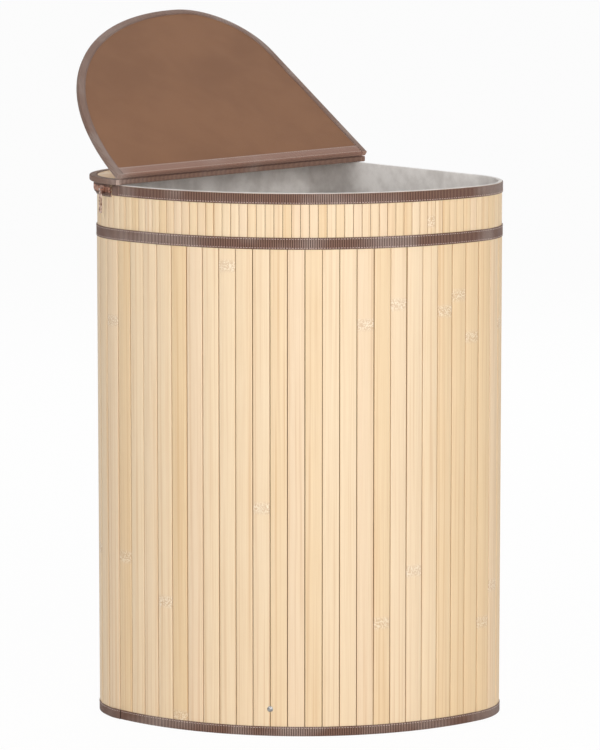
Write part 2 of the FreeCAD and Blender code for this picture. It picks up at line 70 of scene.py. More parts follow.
# a socket on which Python arithmetic adds Math nodes
class Wire:
    def __init__(self, tree, socket):
        self.tree, self.socket = tree, socket

    def math(self, operation, *others, swap=False):
        values = list(others) + [self] if swap else [self] + list(others)
        return self.tree.add(self.tree.mathType, {"operation": operation}, dict(enumerate(values)))

    def __add__(self, other):
        return self.math("ADD", other)

    def __sub__(self, other):
        return self.math("SUBTRACT", other)

    def __mul__(self, other):
        return self.math("MULTIPLY", other)

    def __truediv__(self, other):
        return self.math("DIVIDE", other)

    def __rsub__(self, other):
        return self.math("SUBTRACT", other, swap=True)

    def __rtruediv__(self, other):
        return self.math("DIVIDE", other, swap=True)

    __radd__ = __add__
    __rmul__ = __mul__


class Tree:
    mathType = "ShaderNodeMath"

    def __init__(self, nodeTree):
        self.nodeTree = nodeTree

    # settings come first, then the sockets' values or links; returns the chosen output
    def add(self, kind, settings=None, sockets=None, out=0):
        node = self.nodeTree.nodes.new(kind)
        for name, value in (settings or {}).items():
            setattr(node, name, value)
        for key, value in (sockets or {}).items():
            socket = node.inputs[key]
            if isinstance(value, Wire):
                self.nodeTree.links.new(value.socket, socket)
            else:
                socket.default_value = value
        return Wire(self, node.outputs[out]) if node.outputs else node


# screen colour 0-255 to the linear value that Blender works in
def colour(red, green, blue):
    linear = [v / 12.92 if v <= 0.04045 else ((v + 0.055) / 1.055) ** 2.4
              for v in (red / 255, green / 255, blue / 255)]
    return (*linear, 1.0)


# a material; the arguments that follow its name are constants of the shader
class Finish(Tree):
    def __init__(self, name, **fixed):
        self.material = bpy.data.materials.new(name)
        self.material.use_nodes = True
        super().__init__(self.material.node_tree)
        self.shader = self.nodeTree.nodes["Principled BSDF"]
        self.spot = self.add("ShaderNodeTexCoord", out="Object")
        for key, value in fixed.items():
            self.shader.inputs[key.replace("_", " ")].default_value = value

    def attribute(self, name):
        return self.add("ShaderNodeAttribute", {"attribute_name": name}, out="Fac")

    def noise(self, where, scale, detail=2.0, rough=0.5):
        return self.add("ShaderNodeTexNoise", None,
                        {"Vector": where, "Scale": scale, "Detail": detail, "Roughness": rough})

    # a value from 0 to 1 that changes wholly with its seed
    def chance(self, seed):
        return self.add("ShaderNodeTexWhiteNoise", {"noise_dimensions": "1D"}, {"W": seed})

    def vector(self, operation, first, second):
        return self.add("ShaderNodeVectorMath", {"operation": operation}, {0: first, 1: second})

    def dot(self, first, second):
        return self.add("ShaderNodeVectorMath", {"operation": "DOT_PRODUCT"}, {0: first, 1: second},
                        out="Value")

    def scaled(self, where, factor):
        return self.add("ShaderNodeVectorMath", {"operation": "SCALE"}, {0: where, "Scale": factor})

    # object space squeezed so that noise turns into streaks along one direction
    def streaks(self, direction, across, along):
        reach = self.dot(self.spot, direction) * (across - along)
        way = self.add("ShaderNodeCombineXYZ", None, dict(enumerate(direction)))
        return self.vector("SUBTRACT", self.scaled(self.spot, across), self.scaled(way, reach))

    def mix(self, factor, first, second):
        return self.add("ShaderNodeMix", {"data_type": "RGBA"},
                        {"Factor": factor, 6: first, 7: second}, out=2)

    def span(self, value, low, high, toLow=0.0, toHigh=1.0):
        return self.add("ShaderNodeMapRange", {"interpolation_type": "SMOOTHSTEP"},
                        {0: value, 1: low, 2: high, 3: toLow, 4: toHigh})

    def bump(self, height, strength, distance):
        return self.add("ShaderNodeBump", None,
                        {"Strength": strength, "Distance": distance, "Height": height})

    def set(self, **links):
        for key, wire in links.items():
            self.nodeTree.links.new(wire.socket, self.shader.inputs[key.replace("_", " ")])
        return self.material


# shares say how strongly a colour comes in; a grain's scale is across the slat, its run along it
bamboo = {
    "pale": colour(243, 220, 187), "warm": colour(237, 209, 168), "rosy": colour(240, 215, 185),
    "streak": colour(214, 172, 124), "mark": colour(196, 160, 122),
    "markPale": colour(252, 242, 226),
    "fineGrain": 1500.0, "fineRun": 9.0, "broadGrain": 330.0, "broadRun": 2.2, "cloudScale": 14.0,
    "rosyShare": 0.75, "broadShare": 0.50, "fineShare": 0.24,
    "markShare": 0.36, "markPaleShare": 0.46,
    "markHeight": 0.0100, "markCore": 0.3, "speckScale": 620.0,
    "smoothest": 0.46, "roughest": 0.62, "bumpStrength": 0.35, "bumpDepth": 0.0004,
}


# slatValues gives a slat's tone and the height of its growth mark
def bambooFinish(name, direction, slatValues):
    finish = Finish(name)
    tone, markPlace = slatValues(finish)
    fineStreaks = finish.streaks(direction, bamboo["fineGrain"], bamboo["fineRun"])
    broadStreaks = finish.streaks(direction, bamboo["broadGrain"], bamboo["broadRun"])
    fine = finish.noise(fineStreaks, 1.0, 3.0, 0.6)
    broad = finish.noise(broadStreaks, 1.0, 2.0, 0.55)
    cloud = finish.noise(finish.spot, bamboo["cloudScale"])
    blush = finish.chance(tone * 91.0 + 3.0)
    warmth = finish.span(tone * 0.75 + cloud * 0.35, 0.15, 0.95)
    base = finish.mix(warmth, bamboo["pale"], bamboo["warm"])
    base = finish.mix(finish.span(blush, 0.45, 1.0, 0.0, bamboo["rosyShare"]), base, bamboo["rosy"])
    for streaks in (finish.span(broad, 0.48, 0.76, 0.0, bamboo["broadShare"]),
                    finish.span(fine, 0.35, 0.75, 0.0, bamboo["fineShare"])):
        base = finish.mix(streaks, base, bamboo["streak"])
    off = (finish.dot(finish.spot, direction) - markPlace).math("ABSOLUTE")
    markEnd = bamboo["markHeight"]
    near = finish.span(off, markEnd * bamboo["markCore"], markEnd, 1.0, 0.0)
    speck = finish.span(finish.noise(finish.spot, bamboo["speckScale"], 1.0), 0.45, 0.60)
    base = finish.mix(near * (1 - speck) * bamboo["markShare"], base, bamboo["mark"])
    base = finish.mix(near * speck * bamboo["markPaleShare"], base, bamboo["markPale"])
    rough = finish.span(fine, 0.2, 0.8, bamboo["smoothest"], bamboo["roughest"])
    height = fine * 0.6 + broad * 0.4 + near * 0.6
    return finish.set(Base_Color=base, Roughness=rough,
                      Normal=finish.bump(height, bamboo["bumpStrength"], bamboo["bumpDepth"]))


def wallSlatValues(finish):
    return finish.attribute("tone"), finish.attribute("mark")


# a lid slat's values come from counting slats across the lid
def lidSlatValues(across, start, pitch):
    def values(finish):
        number = ((finish.dot(finish.spot, across) - start) / pitch).math("FLOOR")
        return finish.chance(number), finish.chance(number + 40.5) * 0.5 - 0.25
    return values


# the pale colour is a painted sheen, the dark colour the painted shade of the rib valleys
webbing = {
    "dark": colour(56, 36, 28), "mid": colour(138, 101, 85), "paintedSheen": colour(200, 184, 176),
    "ribbonDark": colour(98, 66, 54), "ribbonMid": colour(186, 142, 122),
    "bindDark": colour(76, 52, 42), "bindMid": colour(160, 124, 106),
    "ribPitch": 0.0021, "tapeScale": 1500.0, "weaveScale": 2600.0,
    "sheen": 0.12, "paintedSheenScale": 16.0, "leastPaintedSheen": 0.05, "paintedSheenShare": 0.62,
    "smoothest": 0.68, "roughest": 0.9, "bumpStrength": 0.6, "bumpDepth": 0.0005,
}


# grosgrain: fine ribs across the band, with a greyish sheen painted into the colour that comes and
# goes along it; the rib valleys take the dark colour as painted shade
def webbingFinish(name, ribs=True, dark="dark", mid="mid"):
    finish = Finish(name, Sheen_Weight=webbing["sheen"], Sheen_Roughness=0.5,
                    Specular_IOR_Level=0.3)
    weave = finish.noise(finish.spot, webbing["weaveScale"])
    sheen = finish.noise(finish.spot, webbing["paintedSheenScale"])
    if ribs:
        turn = finish.attribute("along") * (2 * math.pi / webbing["ribPitch"])
        rib = turn.math("SINE") * 0.5 + 0.5
    else:
        rib = finish.noise(finish.spot, webbing["tapeScale"], 1.0)
    # painted shade: the low parts of the ribs, or of the tape's weave, take the dark colour
    crown = finish.span(rib * 0.75 + weave * 0.25, 0.20, 0.80)
    # painted sheen: the pale colour comes in patches on the rib crowns
    paintedSheenAmount = finish.span(sheen, 0.42, 0.70, webbing["leastPaintedSheen"], webbing["paintedSheenShare"]) * crown
    base = finish.mix(paintedSheenAmount, finish.mix(crown, webbing[dark], webbing[mid]), webbing["paintedSheen"])
    rough = finish.span(rib, 0.0, 1.0, webbing["roughest"], webbing["smoothest"])
    height = rib * 0.7 + weave * 0.3
    return finish.set(Base_Color=base, Roughness=rough,
                      Normal=finish.bump(height, webbing["bumpStrength"], webbing["bumpDepth"]))


cloth = {
    "sheen": 0.08, "warp": (0.7071, 0.7071, 0.45), "weft": (-0.5, 0.5, 0.85), "fibreScale": 1800.0,
    "hollowShadeShare": 0.28, "smoothest": 0.82, "roughest": 0.95,
    "bumpStrength": 0.4, "bumpDepth": 0.0004,
}


# plain weave: pitch is from thread to thread, mottle how strongly the dark colour comes in patches;
# the weave's hollows also take the dark colour, as painted shade
def clothFinish(name, base, dark, pitch, mottle, patches=11.0):
    finish = Finish(name, Sheen_Weight=cloth["sheen"], Specular_IOR_Level=0.2)
    turn = finish.scaled(finish.spot, 2 * math.pi / pitch)
    warp, weft = [finish.dot(turn, cloth[way]).math("SINE") for way in ("warp", "weft")]
    weave = warp * weft * 0.5 + 0.5
    fibre = finish.noise(finish.spot, cloth["fibreScale"])
    cloud = finish.noise(finish.spot, patches, 3.0, 0.6)
    # painted shade in the hollows of the weave
    hollowShade = finish.span(weave * 0.5 + fibre * 0.5, 0.25, 0.75, cloth["hollowShadeShare"], 0.0)
    # patches of the dark colour: painted shade on the lining, standing in for its wrinkles' shade,
    # and uneven tone on the other cloths
    tint = finish.mix(finish.span(cloud, 0.35, 0.72, 0.0, mottle), base, dark)
    rough = finish.span(fibre, 0.3, 0.7, cloth["smoothest"], cloth["roughest"])
    relief = finish.bump(weave * 0.6 + fibre * 0.4, cloth["bumpStrength"], cloth["bumpDepth"])
    return finish.set(Base_Color=finish.mix(hollowShade, tint, dark), Roughness=rough, Normal=relief)


metal = {"scratchScale": 2400.0, "scratchRun": 160.0, "reflectionShadeScale": 260.0, "roughSpread": 0.18,
         "bumpStrength": 0.12, "bumpDepth": 0.0002}


# dark patches painted over the metal stand in for its shade and dark reflections
def metalFinish(name, base, reflectionShade, rough):
    finish = Finish(name, Metallic=1.0)
    streaks = finish.streaks((0, 0, 1), metal["scratchScale"], metal["scratchRun"])
    scratch = finish.noise(streaks, 1.0)
    paintedReflectionShade = finish.span(finish.noise(finish.spot, metal["reflectionShadeScale"]), 0.4, 0.7)
    return finish.set(Base_Color=finish.mix(paintedReflectionShade, base, reflectionShade),
                      Roughness=finish.span(scratch, 0.3, 0.7, rough, rough + metal["roughSpread"]),
                      Normal=finish.bump(scratch, metal["bumpStrength"], metal["bumpDepth"]))


board = {"fleckScale": 700.0, "fleckShare": 0.3, "smoothest": 0.62, "roughest": 0.8,
         "bumpStrength": 0.25, "bumpDepth": 0.0004}


# fibreboard or wood with its grain along x
def boardFinish(name, base, dark, across, along):
    finish = Finish(name)
    grain = finish.noise(finish.streaks((1, 0, 0), across, along), 1.0, 4.0, 0.6)
    fleck = finish.noise(finish.spot, board["fleckScale"], 3.0)
    tint = finish.mix(finish.span(grain, 0.35, 0.7), base, dark)
    tint = finish.mix(finish.span(fleck, 0.55, 0.8, 0.0, board["fleckShare"]), tint, dark)
    rough = finish.span(grain, 0.3, 0.7, board["smoothest"], board["roughest"])
    return finish.set(Base_Color=tint, Roughness=rough,
                      Normal=finish.bump(grain, board["bumpStrength"], board["bumpDepth"]))


thread = {"sheen": 0.2, "twistScale": 2200.0, "smoothest": 0.6, "roughest": 0.8,
          "bumpStrength": 0.3, "bumpDepth": 0.0002}


def threadFinish(name, pale, deep):
    finish = Finish(name, Sheen_Weight=thread["sheen"])
    twist = finish.noise(finish.spot, thread["twistScale"], 1.0)
    rough = finish.span(twist, 0.2, 0.8, thread["smoothest"], thread["roughest"])
    return finish.set(Base_Color=finish.mix(twist, pale, deep), Roughness=rough,
                      Normal=finish.bump(twist, thread["bumpStrength"], thread["bumpDepth"]))


# the lid's slats: where they begin and end across the lid in the plan frame, and how many they are
lidSlats = {
    "strip": {"start": -0.0078, "end": 0.0982, "count": 5},
    "flap": {"start": 0.1018, "end": 0.4023, "count": 15},
}
lidPlace = {"strip": planToHamper, "flap": flapOpen}


def lidBamboo(name, side):
    place, row = lidPlace[side], lidSlats[side]
    slatWay = planToHamper.to_3x3() @ Vector((1, 0, 0))
    across = place.to_3x3() @ Vector((0, 1, 0))
    start = across.dot(place @ Vector((0, row["start"], hamper["lidTop"])))
    pitch = (row["end"] - row["start"]) / row["count"]
    return bambooFinish(name, slatWay, lidSlatValues(across, start, pitch))


finishes = {
    "slats": bambooFinish("bamboo", (0, 0, 1), wallSlatValues),
    "stripSlats": lidBamboo("strip_bamboo", "strip"),
    "flapSlats": lidBamboo("flap_bamboo", "flap"),
    "webbing": webbingFinish("brown_webbing"),
    "ribbon": webbingFinish("brown_ribbon", dark="ribbonDark", mid="ribbonMid"),
    "binding": webbingFinish("brown_binding", dark="bindDark", mid="bindMid"),
    "tape": webbingFinish("zip_tape", ribs=False),
    # the lining's grey patches are painted shade of its wrinkles
    "lining": clothFinish("lining_cloth", colour(252, 249, 246), colour(186, 179, 174),
                          pitch=0.0011, mottle=0.5, patches=30.0),
    "lidCloth": clothFinish("lid_cloth", colour(150, 107, 77), colour(122, 84, 60),
                            pitch=0.0010, mottle=0.4),
    "backing": clothFinish("backing_cloth", colour(132, 90, 38), colour(90, 58, 20),
                           pitch=0.0012, mottle=0.5),
    # each metal's second colour comes in patches as painted shade and dark reflection
    "zipMetal": metalFinish("zip_metal", colour(178, 134, 116), colour(106, 74, 62), rough=0.3),
    "pullMetal": metalFinish("pull_metal", colour(212, 190, 180), colour(108, 78, 66), rough=0.2),
    "rivetMetal": metalFinish("rivet_metal", colour(170, 170, 170), colour(110, 108, 106),
                              rough=0.28),
    "board": boardFinish("fibreboard", colour(168, 132, 94), colour(120, 90, 62),
                         across=300.0, along=60.0),
    "wood": boardFinish("pale_wood", colour(216, 186, 142), colour(178, 142, 98),
                        across=400.0, along=12.0),
    "thread": threadFinish("brown_thread", colour(178, 156, 146), colour(226, 212, 204)),
    "darkThread": threadFinish("dark_thread", colour(104, 76, 60), colour(76, 52, 42)),
}
print("finishes made:", len(finishes))


# the wall's outline from the back corner on, in the plan frame
# each section has a kind, a place, a facing angle and a length
def wallSections(measured):
    front, corner, back = hamper["frontRadius"], hamper["cornerRadius"], hamper["backRadius"]
    quarter = math.pi / 2
    return [
        ("line", (back, 0.0), -90, front - back),
        ("arc", (front, corner, corner), -90, (corner + measured) * quarter),
        ("arc", (corner, corner, front), 0, (front + measured) * quarter),
        ("arc", (corner, front, corner), 90, (corner + measured) * quarter),
        ("line", (0.0, front), 180, front - back),
        ("arc", (back, back, back), 180, (back + measured) * quarter),
    ]


def wallLength(measured=0.0):
    return sum(section[3] for section in wallSections(measured))


# point and outward angle at length s, which is measured on the outline grown by measured
def wallPoint(s, grow, measured=0.0):
    sections = wallSections(measured)
    s %= sum(section[3] for section in sections)
    for kind, place, facing, length in sections:
        if s <= length:
            break
        s -= length
    if kind == "line":
        angle = math.radians(facing)
        out = Vector((math.cos(angle), math.sin(angle), 0))
        along = Vector((-out.y, out.x, 0))
        return Vector((*place, 0)) + along * s + out * grow, facing
    x, y, radius = place
    turn = facing + 90 * s / length
    angle = math.radians(turn)
    return Vector((x, y, 0)) + Vector((math.cos(angle), math.sin(angle), 0)) * (radius + grow), turn


# the same point at a height, in the hamper's own frame
def wallSpot(s, grow, height, measured=0.0):
    point = wallPoint(s, grow, measured)[0]
    return planToHamper @ Vector((point.x, point.y, height))


def run(start, end, grow, height, gap=0.003):
    count = max(2, round((end - start) / gap))
    points = []
    for index in range(count + 1):
        s = start + (end - start) * index / count
        points.append(wallSpot(s, grow(s) if callable(grow) else grow, height))
    return points


wholeWall = wallLength()
straightWall = hamper["frontRadius"] - hamper["backRadius"]


# a geometry tree: named inputs for its sizes, then its nodes, then close
class Growth(Tree):
    def __init__(self, name, inputs):
        super().__init__(bpy.data.node_groups.new(name, "GeometryNodeTree"))
        interface = self.nodeTree.interface
        interface.new_socket("Geometry", in_out="INPUT", socket_type="NodeSocketGeometry")
        interface.new_socket("Geometry", in_out="OUTPUT", socket_type="NodeSocketGeometry")
        self.inputIds = {}
        for label in inputs + ["Material"]:
            kind = "Material" if label == "Material" else "Float"
            item = interface.new_socket(label, in_out="INPUT", socket_type="NodeSocket" + kind)
            self.inputIds[label] = item.identifier
        self.entry = self.nodeTree.nodes.new("NodeGroupInput")

    def given(self, label):
        return Wire(self, self.entry.outputs[label])

    def close(self, geometry):
        solid = self.add("GeometryNodeRealizeInstances", None, {0: geometry})
        coloured = self.add("GeometryNodeSetMaterial", None,
                            {"Geometry": solid, "Material": self.given("Material")})
        leave = self.nodeTree.nodes.new("NodeGroupOutput")
        self.nodeTree.links.new(coloured.socket, leave.inputs[0])
        return self

    # ends the tree with one copy of a shape on every point
    def closeRow(self, points, shape, turn):
        return self.close(self.add("GeometryNodeInstanceOnPoints", None,
                                   {"Points": points, "Instance": shape, "Rotation": turn}))

    def combine(self, x, y, z):
        return self.add("ShaderNodeCombineXYZ", None, {0: x, 1: y, 2: z})

    # outline of a bar with rounded edges; its sizes are labels of the tree's inputs
    def roundedOutline(self, width, height, steps):
        outline = self.add("GeometryNodeCurvePrimitiveQuadrilateral", {"mode": "RECTANGLE"},
                           {"Width": self.given(width), "Height": self.given(height)})
        return self.add("GeometryNodeFilletCurve", {"mode": "POLY"},
                        {"Curve": outline, "Count": steps, "Radius": self.given("Rounding")})

    def sweep(self, curve, outline):
        return self.add("GeometryNodeCurveToMesh", None,
                        {"Curve": curve, "Profile Curve": outline, "Fill Caps": True})

    def upright(self, outline):
        top = self.combine(0.0, 0.0, self.given("Height"))
        line = self.add("GeometryNodeCurvePrimitiveLine", {"mode": "POINTS"},
                        {"Start": (0.0, 0.0, 0.0), "End": top})
        return self.sweep(line, outline)

    # path points a pitch apart with the turn that lays x along the path
    def steps(self):
        curve = self.add("GeometryNodeMeshToCurve", None, {0: self.given("Geometry")})
        points = self.add("GeometryNodeResampleCurve", {"mode": "LENGTH"},
                          {"Curve": curve, "Length": self.given("Pitch")})
        tangent = self.add("GeometryNodeInputTangent")
        turn = self.add("FunctionNodeAlignRotationToVector", {"axis": "X"}, {"Vector": tangent})
        return points, turn

    def named(self, label):
        return self.add("GeometryNodeInputNamedAttribute", {"data_type": "FLOAT"}, {"Name": label})


# upright slats on a path's points, each turned by its own heading and lean
def slatTree():
    tree = Growth("slatRow", ["Width", "Thickness", "Height", "Rounding"])
    slat = tree.upright(tree.roundedOutline("Width", "Thickness", 2))
    turn = tree.combine(0.0, tree.named("lean"), tree.named("heading"))
    return tree.closeRow(tree.given("Geometry"), slat, turn)


# a level band along a path, with its length stored for the ribs
def bandTree():
    tree = Growth("webbingBand", ["Width", "Thickness", "Rounding"])
    curve = tree.add("GeometryNodeMeshToCurve", None, {0: tree.given("Geometry")})
    level = tree.add("GeometryNodeSetCurveNormal", {"mode": "Z_UP"}, {0: curve})
    length = tree.add("GeometryNodeSplineParameter", out="Length")
    marked = tree.add("GeometryNodeStoreNamedAttribute", {"data_type": "FLOAT", "domain": "POINT"},
                      {"Geometry": level, "Name": "along", "Value": length})
    return tree.close(tree.sweep(marked, tree.roundedOutline("Thickness", "Width", 3)))


def stitchTree():
    tree = Growth("stitchRow", ["Pitch", "Length", "Radius"])
    points, turn = tree.steps()
    ball = tree.add("GeometryNodeMeshUVSphere", None, {"Segments": 6, "Rings": 5, "Radius": 1.0})
    scale = tree.combine(tree.given("Length") * 0.5, tree.given("Radius"), tree.given("Radius"))
    shaped = tree.add("GeometryNodeTransform", None, {"Geometry": ball, "Scale": scale})
    return tree.closeRow(points, shaped, turn)


def toothTree():
    tree = Growth("toothRow", ["Pitch", "Width", "Depth", "Height", "Rounding"])
    points, turn = tree.steps()
    tooth = tree.upright(tree.roundedOutline("Width", "Depth", 1))
    return tree.closeRow(points, tooth, turn)


trees = {"slats": slatTree(), "band": bandTree(), "stitches": stitchTree(), "teeth": toothTree()}


def pathMesh(points, closed=False, values=None, joined=True):
    mesh = bpy.data.meshes.new("path")
    edges = [(i, i + 1) for i in range(len(points) - 1)] if joined else []
    if closed:
        edges.append((len(points) - 1, 0))
    mesh.from_pydata(points, edges, [])
    for name, row in (values or {}).items():
        mesh.attributes.new(name, "FLOAT", "POINT").data.foreach_set("value", row)
    return mesh


# runs a tree on a path and returns its plain mesh
def grown(kind, path, finish, place=None, **values):
    tree = trees[kind]
    carrier = bpy.data.objects.new("carrier", path)
    scene.collection.objects.link(carrier)
    modifier = carrier.modifiers.new("growth", "NODES")
    modifier.node_group = tree.nodeTree
    for label, value in values.items():
        modifier[tree.inputIds[label]] = value
    modifier[tree.inputIds["Material"]] = finishes[finish]
    graph = bpy.context.evaluated_depsgraph_get()
    mesh = bpy.data.meshes.new_from_object(carrier.evaluated_get(graph), depsgraph=graph,
                                           preserve_all_data_layers=True)
    bpy.data.objects.remove(carrier)
    if place is not None:
        mesh.transform(place)
    return mesh


# sizes holds the band's width, thickness and the rounding of its edges
def bandAlong(points, sizes, finish="webbing", place=None, closed=False):
    return grown("band", pathMesh(points, closed=closed), finish, place, Width=sizes["width"],
                 Thickness=sizes["thick"], Rounding=sizes["rounding"])


def smoothFaces(mesh, angle=35.0):
    for polygon in mesh.polygons:
        polygon.use_smooth = True
    mesh.set_sharp_from_angle(angle=math.radians(angle))


def enroll(made, body, replaces):
    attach(made, body)
    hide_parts(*replaces)


# joins meshes into one finished piece on its body
def piece(name, meshes, body, replaces, smooth=True):
    joined = bmesh.new()
    materials = []
    result = bpy.data.meshes.new(name)
    for mesh in meshes:
        shift = len(materials)
        materials.extend(mesh.materials)
        for polygon in mesh.polygons:
            polygon.material_index += shift
        joined.from_mesh(mesh)
    joined.to_mesh(result)
    joined.free()
    for material in materials:
        result.materials.append(material)
    made = bpy.data.objects.new(name, result)
    scene.collection.objects.link(made)
    if smooth:
        smoothFaces(result)
    enroll(made, body, replaces)


# the wall's slats stand where the CAD's slats stand; wander and lean set them a little out of true
slats = {
    "main": {"name": "Slats", "pitch": 0.0206, "width": 0.0197, "thick": 0.0030, "setIn": 0.0,
             "bottom": 0.0010, "top": 0.5895, "rounding": 0.0006, "seed": 11,
             "nodes": {"left": "left_wall_slats", "front": "front_slats",
                       "right": "right_wall_slats"}},
    "collar": {"name": "CollarSlats", "pitch": 0.0103, "width": 0.0098, "thick": 0.0020,
               "setIn": 0.000134, "bottom": 0.5895, "top": 0.6480, "rounding": 0.0004, "seed": 23,
               "nodes": {"left": "left_collar_slats", "front": "front_collar_slats",
                         "right": "right_collar_slats"}},
    "wander": 0.00012, "lean": 0.0004, "tonePower": 1.2, "lowestMark": -0.55, "highestMark": 0.62,
}


def slatRows(sizes):
    grow = -sizes["thick"] - sizes["setIn"]
    total = wallLength(grow) - wallSections(grow)[-1][3]
    count = round(total / sizes["pitch"])
    dice = random.Random(sizes["seed"])
    rows = {side: [[], [], [], [], []] for side in ("left", "front", "right")}
    for index in range(count):
        s = (index + 0.5) * total / count
        side = "left" if s < straightWall else "right" if s > total - straightWall else "front"
        wander = dice.uniform(-1, 0) * slats["wander"]
        inset = -sizes["setIn"] - sizes["thick"] / 2 + wander
        facing = wallPoint(s, inset, grow)[1]
        values = (wallSpot(s, inset, sizes["bottom"], grow), math.radians(facing + 90 + planTurn),
                  dice.uniform(-1, 1) * slats["lean"], dice.random() ** slats["tonePower"],
                  dice.uniform(slats["lowestMark"], slats["highestMark"]))
        for row, value in zip(rows[side], values):
            row.append(value)
    return rows


for sizes in (slats["main"], slats["collar"]):
    for side, (points, heading, lean, tone, mark) in slatRows(sizes).items():
        values = {"heading": heading, "lean": lean, "tone": tone, "mark": mark}
        path = pathMesh(points, values=values, joined=False)
        mesh = grown("slats", path, "slats", Width=sizes["width"], Thickness=sizes["thick"],
                     Height=sizes["top"] - sizes["bottom"], Rounding=sizes["rounding"])
        piece(side + sizes["name"], [mesh], "hamper", [sizes["nodes"][side]],
              smooth=False)
print("wall slats made")

# webbing round the wall: a start is a length along the outline, a lap is how far the end covers it
webbingSizes = {
    "hem": {"bottom": 0.0, "width": 0.0115, "start": 0.4239, "lap": 0.012},
    "waist": {"bottom": 0.5825, "width": 0.0140, "start": 0.0500, "lap": 0.015},
    "rim": {"bottom": 0.6356, "width": 0.0124, "startAngle": 88, "foldLength": 0.011},
    "thick": 0.0010, "rounding": 0.00042, "ramp": 0.018,
    "foot": {"width": 0.0010, "thick": 0.0044, "rounding": 0.0004, "inset": 0.0018,
             "middle": 0.0005},
    "rimFold": {"width": 0.0118, "thick": 0.0008, "rounding": 0.0003, "out": 0.0013},
    "backing": {"width": 0.5955, "thick": 0.0010, "rounding": 0.0002, "inset": 0.0035,
                "middle": 0.29875},
}
stitch = {"pitch": 0.0034, "length": 0.0024, "radius": 0.00034, "inset": 0.0017, "endGap": 0.001}


def stitches(points, place=None, finish="thread"):
    return grown("stitches", pathMesh(points), finish, place,
                 Pitch=stitch["pitch"], Length=stitch["length"], Radius=stitch["radius"])


# a band round the whole wall whose end climbs over its start, with two rows of stitches
def lappedBand(sizes):
    start, end = sizes["start"], sizes["start"] + wholeWall + sizes["lap"]
    thick, ramp = webbingSizes["thick"], webbingSizes["ramp"]
    lapStart = start + wholeWall - ramp
    middle = sizes["bottom"] + sizes["width"] / 2

    def grow(s):
        climb = min(max((s - lapStart) / ramp, 0.0), 1.0)
        return thick / 2 + thick * climb * climb * (3 - 2 * climb)

    band = bandAlong(run(start, end, grow, middle), {**webbingSizes, "width": sizes["width"]})
    rows = []
    bottom, top = sizes["bottom"], sizes["bottom"] + sizes["width"]
    for z in (top - stitch["inset"], bottom + stitch["inset"]):
        rows.append(stitches(run(start + stitch["endGap"], end - stitch["endGap"],
                                 lambda s: grow(s) + thick / 2, z)))
    return [band] + rows


def closedBand(sizes, finish):
    points = run(0, wholeWall, -sizes["inset"], sizes["middle"])[:-1]
    return bandAlong(points, sizes, finish, closed=True)


# the hem's webbing turns in under the slats, so a foot takes the place of its lower row of stitches
foot = closedBand(webbingSizes["foot"], "webbing")
piece("hemWebbing", lappedBand(webbingSizes["hem"])[:2] + [foot], "hamper",
      ["hem_binding"])
piece("waistWebbing", lappedBand(webbingSizes["waist"]), "hamper", ["waist_band"])


# the rim's webbing starts beside the zip, with its end folded over
def rimWebbing():
    rim, fold, thick = webbingSizes["rim"], webbingSizes["rimFold"], webbingSizes["thick"]
    start = straightWall + hamper["cornerRadius"] * math.radians(rim["startAngle"])
    middle = rim["bottom"] + rim["width"] / 2
    band = bandAlong(run(start, wholeWall, thick / 2, middle),
                     {**webbingSizes, "width": rim["width"]})
    row = stitches(run(start + stitch["endGap"], wholeWall - stitch["endGap"], thick,
                       rim["bottom"] + stitch["inset"]))
    folded = bandAlong(run(start, start + rim["foldLength"], fold["out"], middle), fold)
    piece("rimWebbing", [band, folded, row], "hamper", ["rim_binding"])


rimWebbing()
piece("wallBacking", [closedBand(webbingSizes["backing"], "backing")], "hamper",
      ["wall_backing"], smooth=False)
print("webbing made")


# a cloth sheet: one surface from rows of points, given its thickness
def clothMesh(name, rows, thick, finish, closed=True):
    mesh = bpy.data.meshes.new(name)
    width = len(rows[0])
    faces = []
    for r in range(len(rows) - 1):
        for c in range(width if closed else width - 1):
            d = (c + 1) % width
            faces.append((r * width + c, r * width + d, (r + 1) * width + d, (r + 1) * width + c))
    mesh.from_pydata([p for row in rows for p in row], [], faces)
    work = bmesh.new()
    work.from_mesh(mesh)
    bmesh.ops.remove_doubles(work, verts=work.verts, dist=1e-6)
    bmesh.ops.recalc_face_normals(work, faces=work.faces)
    work.to_mesh(mesh)
    work.free()
    mesh.materials.append(finishes[finish])
    made = bpy.data.objects.new(name, mesh)
    scene.collection.objects.link(made)
    solid = made.modifiers.new("thickness", "SOLIDIFY")
    solid.thickness, solid.offset = thick, 0.0
    solid.use_even_offset = True
    graph = bpy.context.evaluated_depsgraph_get()
    made.data = bpy.data.meshes.new_from_object(made.evaluated_get(graph), depsgraph=graph)
    made.modifiers.clear()
    smoothFaces(made.data, 60)
    return made


# roll is how the lining's upper edge turns over the rim: steps of outward growth and drop
lining = {
    "columns": 460, "rows": 70, "thick": 0.0007, "bottom": 0.0382, "top": 0.6484, "tuck": 0.0008,
    "turnOver": 0.004, "wrinkle": 0.0011, "wrinkleScale": (14, 4), "wrinkleLevel": 0.35,
    "puckers": 0.0005, "puckerScale": (60, 22), "seed": 5.3,
    "topFade": 0.05, "bottomFade": 0.04, "leastFade": 0.1,
    "roll": [(-0.0043, 0.0003), (-0.0040, 0.0), (-0.0022, 0.0), (-0.0006, 0.0), (-0.0003, 0.0002)],
}


liningMiddle = -hamper["liningInset"] - hamper["liningThick"] / 2


